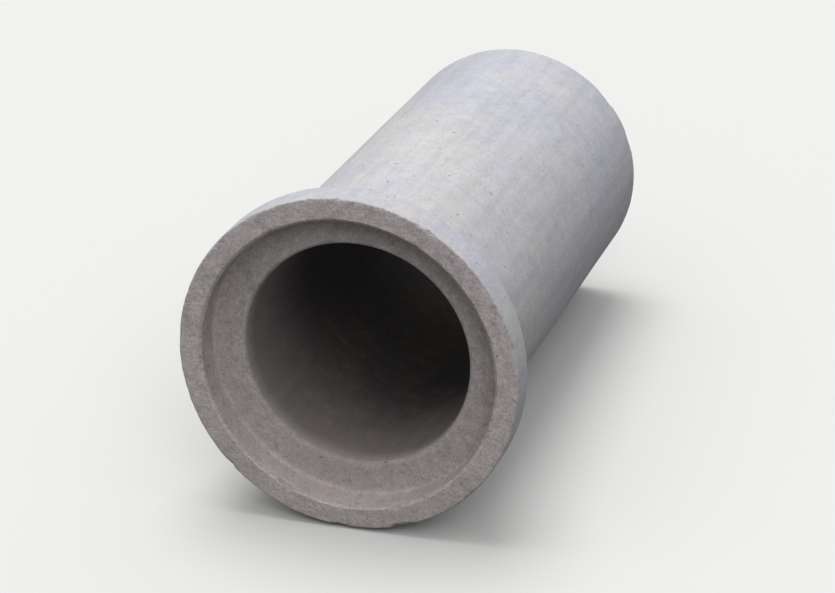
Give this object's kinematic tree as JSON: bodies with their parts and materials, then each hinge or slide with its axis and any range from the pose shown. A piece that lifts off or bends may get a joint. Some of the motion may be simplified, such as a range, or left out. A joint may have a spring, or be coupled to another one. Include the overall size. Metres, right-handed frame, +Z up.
{
  "type": "concrete culvert pipe",
  "caption": "Round bell-and-spigot concrete pipe, cast in one piece, with a straight bore, a short socket bell at one end and a plain spigot at the other.",
  "frame": {"origin": "bottom centre of the pipe's bounding box, on the floor it lies on", "axes": "+Z up, +Y along the pipe from its bell to its spigot end, +X to the right seen from the bell's side"},
  "size_m": [0.604, 1.0784, 0.6059],
  "materials": {
    "concrete": "pale grey as-cast concrete, smooth and matte, dusty"
  },
  "bodies": {
    "root": {"pipe": "concrete"}
  },
  "joints": []
}
